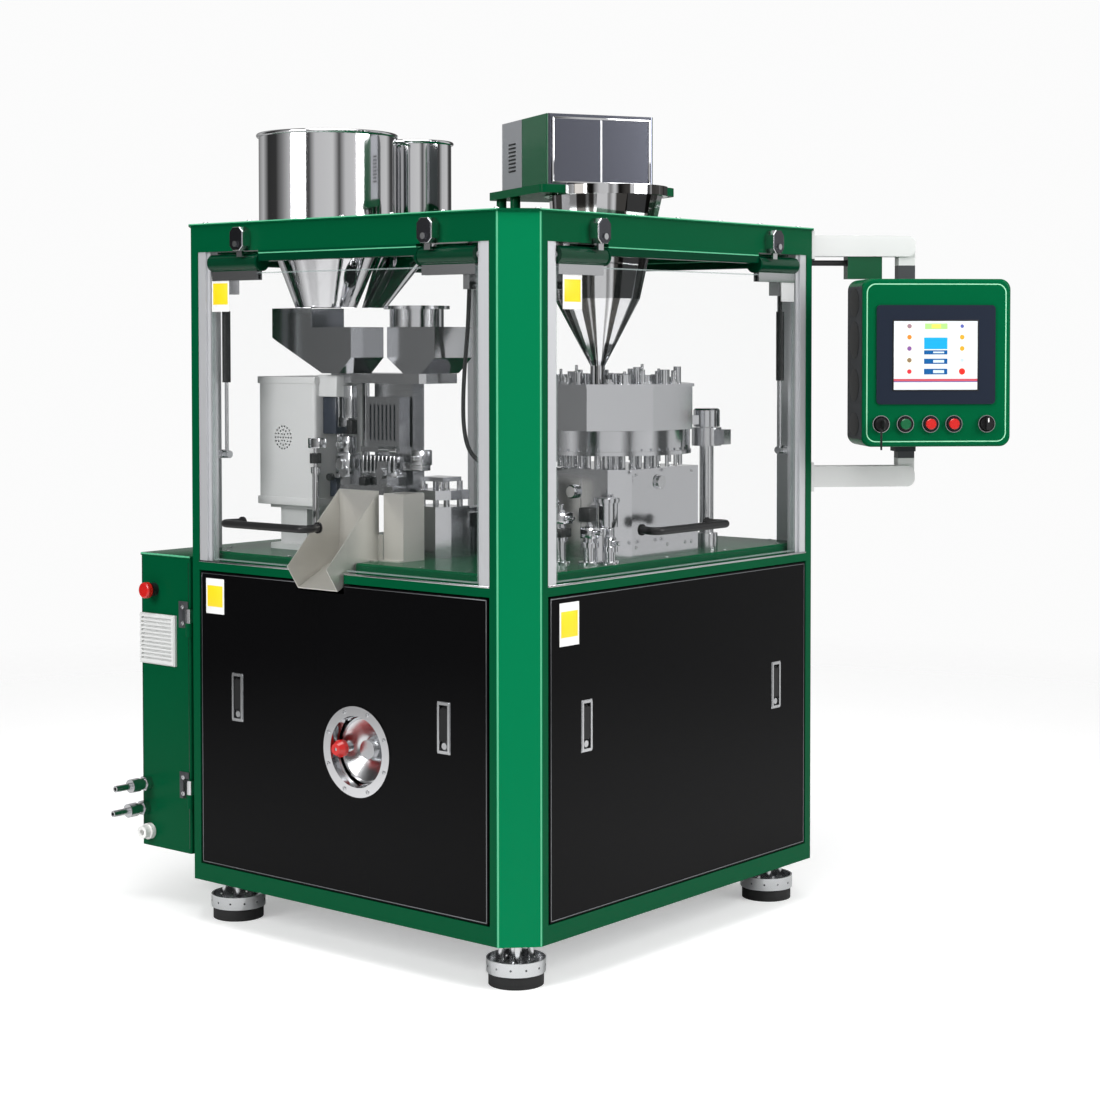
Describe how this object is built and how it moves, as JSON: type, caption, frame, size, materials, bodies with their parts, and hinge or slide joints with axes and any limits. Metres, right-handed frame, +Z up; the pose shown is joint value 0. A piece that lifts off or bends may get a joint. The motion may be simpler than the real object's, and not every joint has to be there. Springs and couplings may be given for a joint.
{
  "type": "capsule filling machine",
  "caption": "Cabinet-type filling machine with guard doors, hoppers, powder funnel, dosing station, side box and swivelling control panel.",
  "frame": {"origin": "on the floor, under the middle of the frame", "axes": "+Z up, -Y the front with the chute and the handwheel, +X the dosing side"},
  "size_m": [1.7297, 1.5155, 1.92],
  "materials": {
    "green_paint": "gloss",
    "black_gloss": "gloss",
    "black_matte": "satin",
    "steel": "brushed",
    "mirror_steel": "polished",
    "clear": "clear",
    "strip": "anodised",
    "grey_paint": "satin",
    "rubber": "matte",
    "red": "gloss",
    "green_lens": "gloss",
    "cast": "painted"
  },
  "bodies": {
    "frame": {"frame_posts": "green_paint", "frame_rails": "green_paint", "table_top": "green_paint", "deck_plate": "green_paint", "foot_pads": "rubber", "foot_cups": "steel", "header_rails": "green_paint", "hinge_hardware": "steel", "jamb_strips": "strip", "fixed_panels": "black_gloss", "fixed_guards": "clear", "drive_base": "steel", "drive_motor": "cast", "index_box": "cast", "vacuum_pump": "cast", "turret_housing": "steel", "dosing_housing": "steel", "adjuster_column": "steel", "discharge_chute": "steel", "capsule_hoppers": "mirror_steel", "capsule_ducts": "mirror_steel", "feeder_trays": "mirror_steel", "feed_box": "grey_paint", "feed_frame": "steel", "powder_funnel": "mirror_steel", "powder_feeder": "mirror_steel", "feeder_plate": "green_paint", "control_arm": "grey_paint", "hanging_cable": "rubber"},
    "front_door": {"front_door_glass": "clear", "front_door_fittings": "black_matte"},
    "side_door": {"side_door_glass": "clear", "side_door_fittings": "black_matte"},
    "front_spring_rods": {"front_spring_rods": "steel"},
    "front_spring_tubes": {"front_spring_tubes": "black_matte"},
    "side_spring_rods": {"side_spring_rods": "steel"},
    "side_spring_tubes": {"side_spring_tubes": "black_matte"},
    "front_panel": {"front_panel": "black_gloss", "handwheel_port": "mirror_steel"},
    "side_panel": {"side_panel": "black_gloss"},
    "front_latch_left": {"front_latch_left": "black_matte"},
    "front_latch_right": {"front_latch_right": "black_matte"},
    "side_latch_left": {"side_latch_left": "black_matte"},
    "side_latch_right": {"side_latch_right": "black_matte"},
    "handwheel": {"handwheel": "mirror_steel"},
    "handwheel_knob": {"handwheel_knob": "red"},
    "main_shaft": {"main_shaft": "steel"},
    "turret": {"turret": "steel"},
    "dosing_disc": {"dosing_disc": "steel"},
    "tamping_head": {"tamping_head": "steel"},
    "feed_magazine": {"feed_magazine": "steel"},
    "electrical_box": {"electrical_box": "green_paint", "box_fittings": "steel"},
    "e_stop": {"e_stop": "red"},
    "control_panel": {"control_panel": "green_paint"},
    "key_switch": {"key_switch": "black_matte"},
    "green_button": {"green_button": "green_lens"},
    "red_button_left": {"red_button_left": "red"},
    "red_button_right": {"red_button_right": "red"},
    "selector_switch": {"selector_switch": "black_matte"}
  },
  "joints": [
    {"name": "front_door_hinge", "type": "hinge", "parent": "frame", "child": "front_door", "pos_m": [0, -0.578, 1.586], "axis": [-1, 0, 0], "range_deg": [0, 88]},
    {"name": "side_door_hinge", "type": "hinge", "parent": "frame", "child": "side_door", "pos_m": [0.536, 0, 1.586], "axis": [0, -1, 0], "range_deg": [0, 88]},
    {"name": "front_spring_swing", "type": "hinge", "parent": "frame", "child": "front_spring_rods", "pos_m": [0, -0.548, 1.131], "axis": [1, 0, 0], "range_deg": [0, 12.57]},
    {"name": "front_spring_stroke", "type": "slide", "parent": "front_spring_rods", "child": "front_spring_tubes", "axis": [0, 0, 1], "range_m": [0, 0.0434]},
    {"name": "side_spring_swing", "type": "hinge", "parent": "frame", "child": "side_spring_rods", "pos_m": [0.506, 0, 1.131], "axis": [0, 1, 0], "range_deg": [0, 12.57]},
    {"name": "side_spring_stroke", "type": "slide", "parent": "side_spring_rods", "child": "side_spring_tubes", "axis": [0, 0, 1], "range_m": [0, 0.0434]},
    {"name": "front_panel_pull", "type": "slide", "parent": "frame", "child": "front_panel", "axis": [0, -1, 0], "range_m": [0, 0.12]},
    {"name": "side_panel_pull", "type": "slide", "parent": "frame", "child": "side_panel", "axis": [1, 0, 0], "range_m": [0, 0.12]},
    {"name": "front_latch_left_lift", "type": "hinge", "parent": "front_panel", "child": "front_latch_left", "pos_m": [-0.329, -0.583, 0.6], "axis": [-1, 0, 0], "range_deg": [0, 40]},
    {"name": "front_latch_right_lift", "type": "hinge", "parent": "front_panel", "child": "front_latch_right", "pos_m": [0.329, -0.583, 0.6], "axis": [-1, 0, 0], "range_deg": [0, 40]},
    {"name": "side_latch_left_lift", "type": "hinge", "parent": "side_panel", "child": "side_latch_left", "pos_m": [0.541, -0.371, 0.6], "axis": [0, -1, 0], "range_deg": [0, 40]},
    {"name": "side_latch_right_lift", "type": "hinge", "parent": "side_panel", "child": "side_latch_right", "pos_m": [0.541, 0.371, 0.6], "axis": [0, -1, 0], "range_deg": [0, 40]},
    {"name": "main_shaft_turn", "type": "hinge", "parent": "frame", "child": "main_shaft", "pos_m": [0.065, 0, 0.477], "axis": [0, 1, 0], "continuous": true},
    {"name": "handwheel_turn", "type": "hinge", "parent": "front_panel", "child": "handwheel", "pos_m": [0.065, -0.592, 0.477], "axis": [0, 1, 0], "continuous": true},
    {"name": "knob_spin", "type": "hinge", "parent": "handwheel", "child": "handwheel_knob", "pos_m": [0.007, -0.592, 0.477], "axis": [0, 1, 0], "continuous": true},
    {"name": "turret_turn", "type": "hinge", "parent": "frame", "child": "turret", "pos_m": [0.065, -0.09, 0.96], "axis": [0, 0, 1], "continuous": true},
    {"name": "dosing_turn", "type": "hinge", "parent": "frame", "child": "dosing_disc", "pos_m": [0.308, 0.022, 1.145], "axis": [0, 0, 1], "continuous": true},
    {"name": "tamping_lift", "type": "slide", "parent": "frame", "child": "tamping_head", "axis": [0, 0, 1], "range_m": [0, 0.024]},
    {"name": "magazine_lift", "type": "slide", "parent": "frame", "child": "feed_magazine", "axis": [0, 0, 1], "range_m": [0, 0.022]},
    {"name": "electrical_box_swing", "type": "hinge", "parent": "frame", "child": "electrical_box", "pos_m": [-0.56, -0.538, 0.5], "axis": [0, 0, 1], "range_deg": [0, 88]},
    {"name": "e_stop_press", "type": "slide", "parent": "electrical_box", "child": "e_stop", "axis": [0, 1, 0], "range_m": [0, 0.006], "stiffness_N_per_m": 900, "springref_m": -0.002},
    {"name": "control_panel_pan", "type": "hinge", "parent": "frame", "child": "control_panel", "pos_m": [0.69074, 0.73274, 1.347], "axis": [0, 0, 1], "range_deg": [-20, 70]},
    {"name": "key_switch_turn", "type": "hinge", "parent": "control_panel", "child": "key_switch", "pos_m": [0.75933, 0.51849, 1.198], "axis": [0.7071, -0.7071, 0], "range_deg": [0, 90]},
    {"name": "green_button_press", "type": "slide", "parent": "control_panel", "child": "green_button", "axis": [-0.7071, 0.7071, 0], "range_m": [0, 0.004], "stiffness_N_per_m": 500, "springref_m": -0.002},
    {"name": "red_button_left_press", "type": "slide", "parent": "control_panel", "child": "red_button_left", "axis": [-0.7071, 0.7071, 0], "range_m": [0, 0.004], "stiffness_N_per_m": 500, "springref_m": -0.002},
    {"name": "red_button_right_press", "type": "slide", "parent": "control_panel", "child": "red_button_right", "axis": [-0.7071, 0.7071, 0], "range_m": [0, 0.004], "stiffness_N_per_m": 500, "springref_m": -0.002},
    {"name": "selector_turn", "type": "hinge", "parent": "control_panel", "child": "selector_switch", "pos_m": [0.9453, 0.70446, 1.198], "axis": [0.7071, -0.7071, 0], "range_deg": [-45, 45]}
  ],
  "couplings": [
    {"joint": "front_spring_swing", "follows": "front_door_hinge", "ratio": 0.14233},
    {"joint": "front_spring_stroke", "follows": "front_door_hinge", "m_per_rad": 0.028033},
    {"joint": "side_spring_swing", "follows": "side_door_hinge", "ratio": 0.14233},
    {"joint": "side_spring_stroke", "follows": "side_door_hinge", "m_per_rad": 0.028033},
    {"joint": "handwheel_turn", "follows": "main_shaft_turn", "ratio": 1},
    {"joint": "turret_turn", "follows": "main_shaft_turn", "ratio": 0.083333},
    {"joint": "dosing_turn", "follows": "main_shaft_turn", "ratio": -0.16667}
  ]
}
